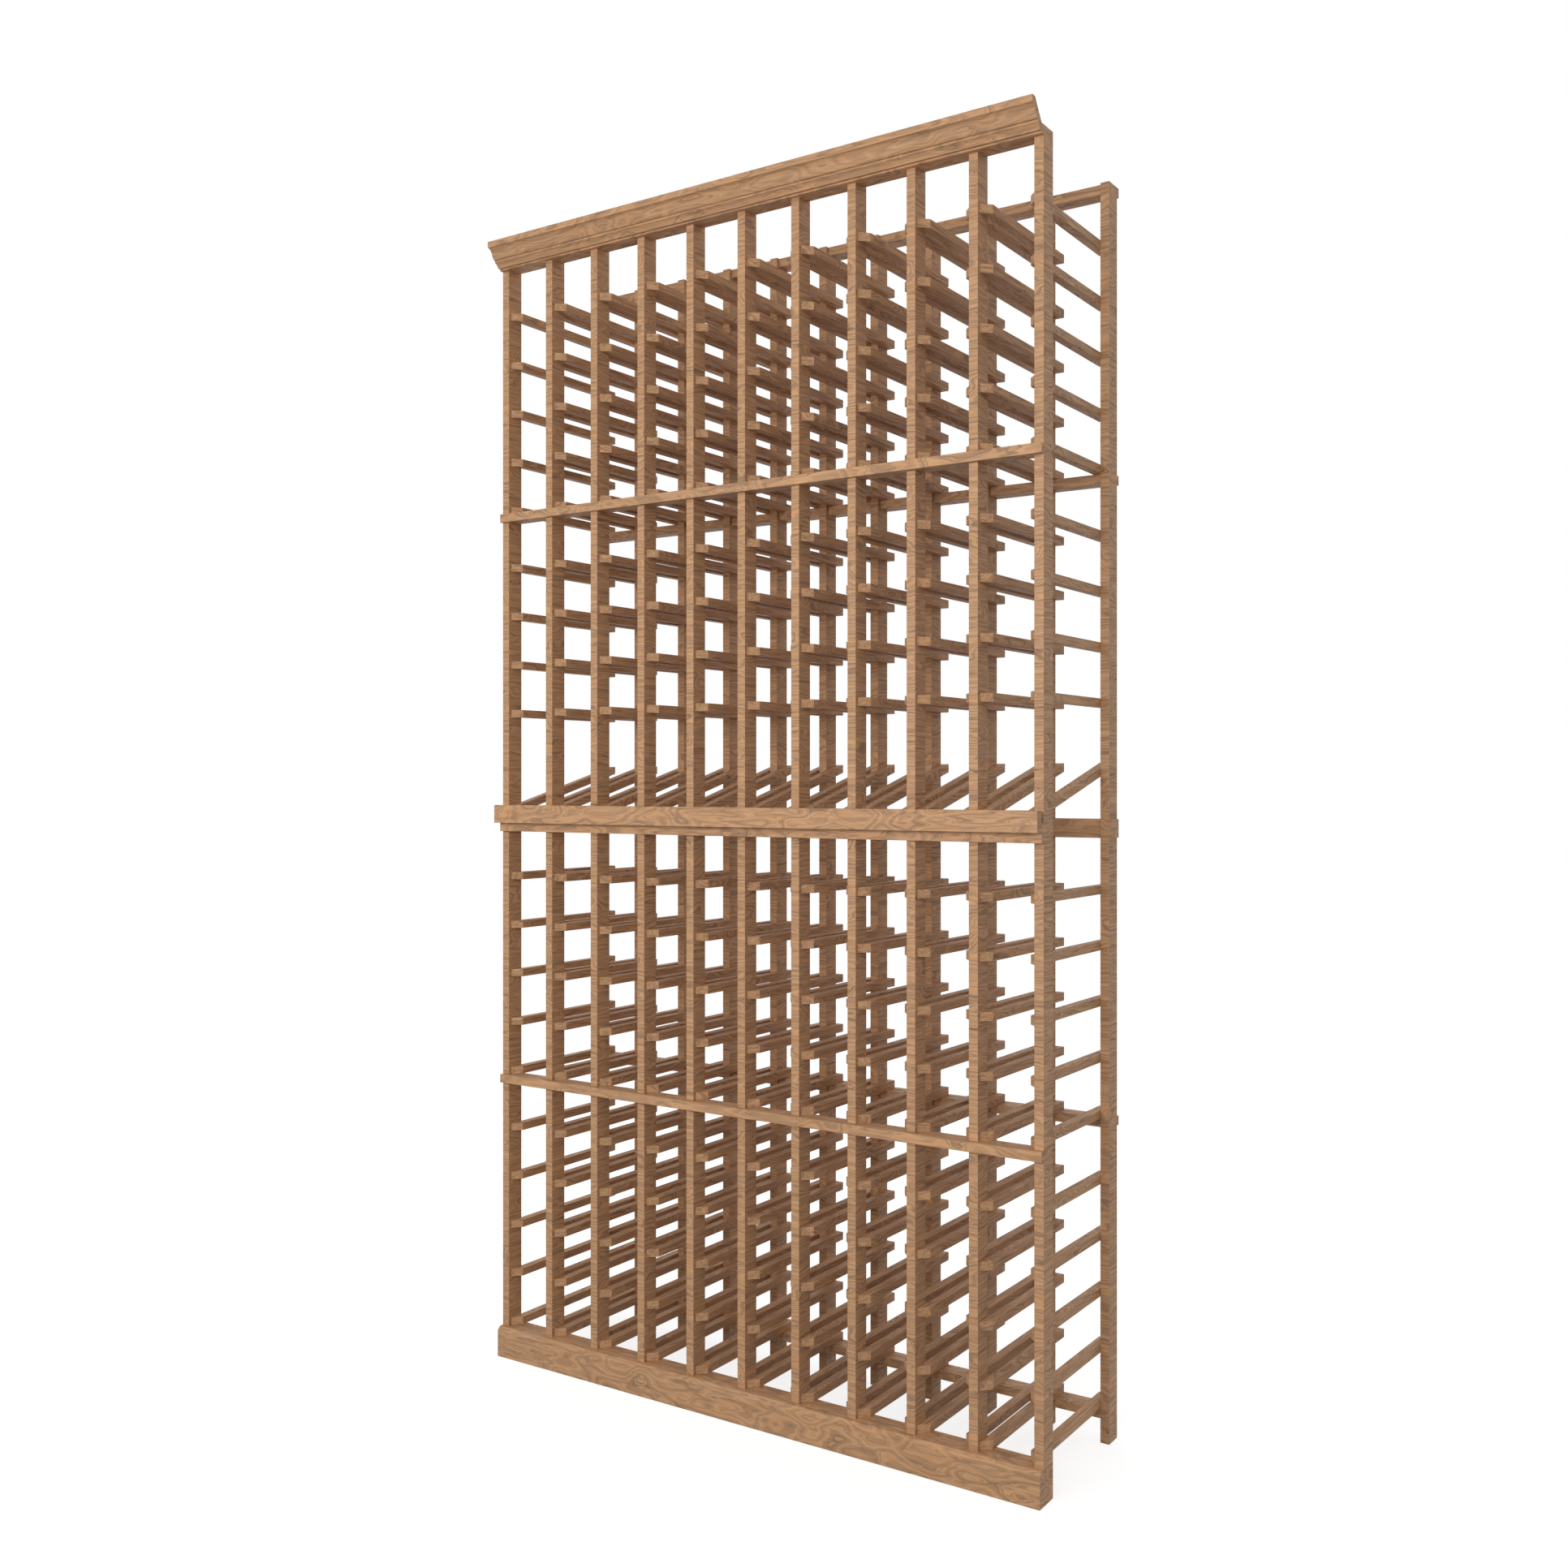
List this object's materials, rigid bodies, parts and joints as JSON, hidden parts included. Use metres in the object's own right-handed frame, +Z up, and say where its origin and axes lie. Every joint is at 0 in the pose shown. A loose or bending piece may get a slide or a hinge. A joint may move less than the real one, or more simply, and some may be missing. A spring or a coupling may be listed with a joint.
{
  "type": "wine rack",
  "caption": "Tall wooden wine rack of ladder-like post-and-rail columns tied by let-in battens, with a sloping display row behind a lip, a base beam and a crown moulding.",
  "frame": {"origin": "on the floor, at the middle of the rack's overall width and depth", "axes": "+Z up; +Y towards the wall behind the rack, so the necks point to -Y; +X to the right as seen from the front"},
  "size_m": [1.2424, 0.3816, 2.3509],
  "materials": {
    "post_wood": "stained, satin",
    "rail_wood": "stained, satin",
    "board_wood": "stained, satin",
    "dowel_wood": "bare beech"
  },
  "bodies": {
    "root": {"front_post_01": "post_wood", "rear_post_01": "post_wood", "front_post_02": "post_wood", "rear_post_02": "post_wood", "front_post_03": "post_wood", "rear_post_03": "post_wood", "front_post_04": "post_wood", "rear_post_04": "post_wood", "front_post_05": "post_wood", "rear_post_05": "post_wood", "front_post_06": "post_wood", "rear_post_06": "post_wood", "front_post_07": "post_wood", "rear_post_07": "post_wood", "front_post_08": "post_wood", "rear_post_08": "post_wood", "front_post_09": "post_wood", "rear_post_09": "post_wood", "front_post_10": "post_wood", "rear_post_10": "post_wood", "front_post_11": "post_wood", "rear_post_11": "post_wood", "rails_bay_01_left": "rail_wood", "rails_bay_01_right": "rail_wood", "rails_bay_02_left": "rail_wood", "rails_bay_02_right": "rail_wood", "rails_bay_03_left": "rail_wood", "rails_bay_03_right": "rail_wood", "rails_bay_04_left": "rail_wood", "rails_bay_04_right": "rail_wood", "rails_bay_05_left": "rail_wood", "rails_bay_05_right": "rail_wood", "rails_bay_06_left": "rail_wood", "rails_bay_06_right": "rail_wood", "rails_bay_07_left": "rail_wood", "rails_bay_07_right": "rail_wood", "rails_bay_08_left": "rail_wood", "rails_bay_08_right": "rail_wood", "rails_bay_09_left": "rail_wood", "rails_bay_09_right": "rail_wood", "rails_bay_10_left": "rail_wood", "rails_bay_10_right": "rail_wood", "display_slats_left": "rail_wood", "display_slats_right": "rail_wood", "lower_front_batten": "board_wood", "lower_rear_batten": "board_wood", "display_front_batten": "board_wood", "display_rear_batten": "board_wood", "upper_front_batten": "board_wood", "upper_rear_batten": "board_wood", "top_front_batten": "board_wood", "top_rear_batten": "board_wood", "display_lip": "board_wood", "base_beam": "board_wood", "rear_sill": "board_wood", "crown_moulding": "board_wood", "rear_feet": "post_wood", "base_dowels": "dowel_wood"}
  },
  "joints": []
}
